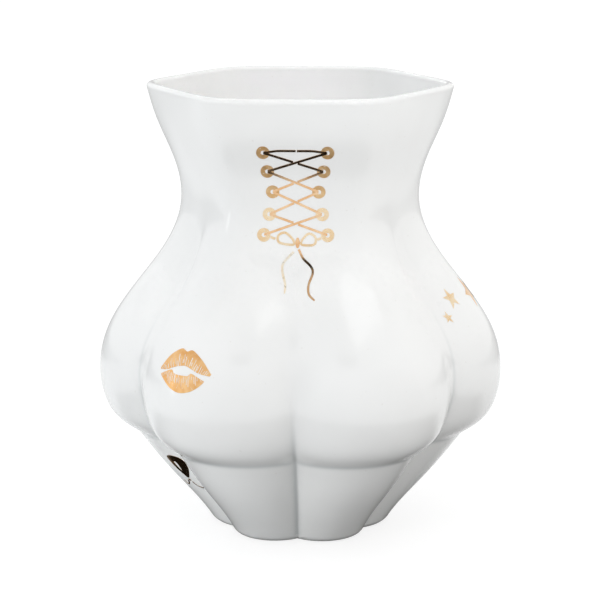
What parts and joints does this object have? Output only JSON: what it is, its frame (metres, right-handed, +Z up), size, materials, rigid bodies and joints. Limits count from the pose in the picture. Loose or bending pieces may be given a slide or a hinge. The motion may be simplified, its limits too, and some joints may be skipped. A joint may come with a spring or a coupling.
{
  "type": "vase",
  "caption": "Porcelain vase shaped as rounded hip pairs round a hollow body, with a six-sided flared mouth, a small lobed foot and gold film decoration.",
  "frame": {"origin": "middle of the foot, on the surface that the vase stands on", "axes": "+Z up through the mouth, -Y is the front with the laced corset, +X is the front's right as seen by the viewer"},
  "size_m": [0.2162, 0.2008, 0.24],
  "materials": {
    "porcelain": "glossy white glaze, unglazed on the foot ring",
    "gold_film": "polished fired gold"
  },
  "bodies": {
    "root": {"porcelain_body": "porcelain", "bow_end_left": "gold_film", "bow_end_right": "gold_film", "bow_knot": "gold_film", "bow_loop_left": "gold_film", "bow_loop_right": "gold_film", "bow_tail_left": "gold_film", "bow_tail_right": "gold_film", "eyelet_left_1": "gold_film", "eyelet_left_2": "gold_film", "eyelet_left_3": "gold_film", "eyelet_left_4": "gold_film", "eyelet_left_5": "gold_film", "eyelet_right_1": "gold_film", "eyelet_right_2": "gold_film", "eyelet_right_3": "gold_film", "eyelet_right_4": "gold_film", "eyelet_right_5": "gold_film", "garter_curl_left": "gold_film", "garter_curl_right": "gold_film", "garter_knot": "gold_film", "garter_loop": "gold_film", "kiss_lower_lip": "gold_film", "kiss_upper_lip": "gold_film", "lace_over_1": "gold_film", "lace_over_2": "gold_film", "lace_over_3": "gold_film", "lace_over_4": "gold_film", "lace_top_left": "gold_film", "lace_top_right": "gold_film", "lace_under_1_end": "gold_film", "lace_under_1_start": "gold_film", "lace_under_2_end": "gold_film", "lace_under_2_start": "gold_film", "lace_under_3_end": "gold_film", "lace_under_3_start": "gold_film", "lace_under_4_end": "gold_film", "lace_under_4_start": "gold_film", "star_large": "gold_film", "star_side": "gold_film", "star_small": "gold_film"}
  },
  "joints": []
}
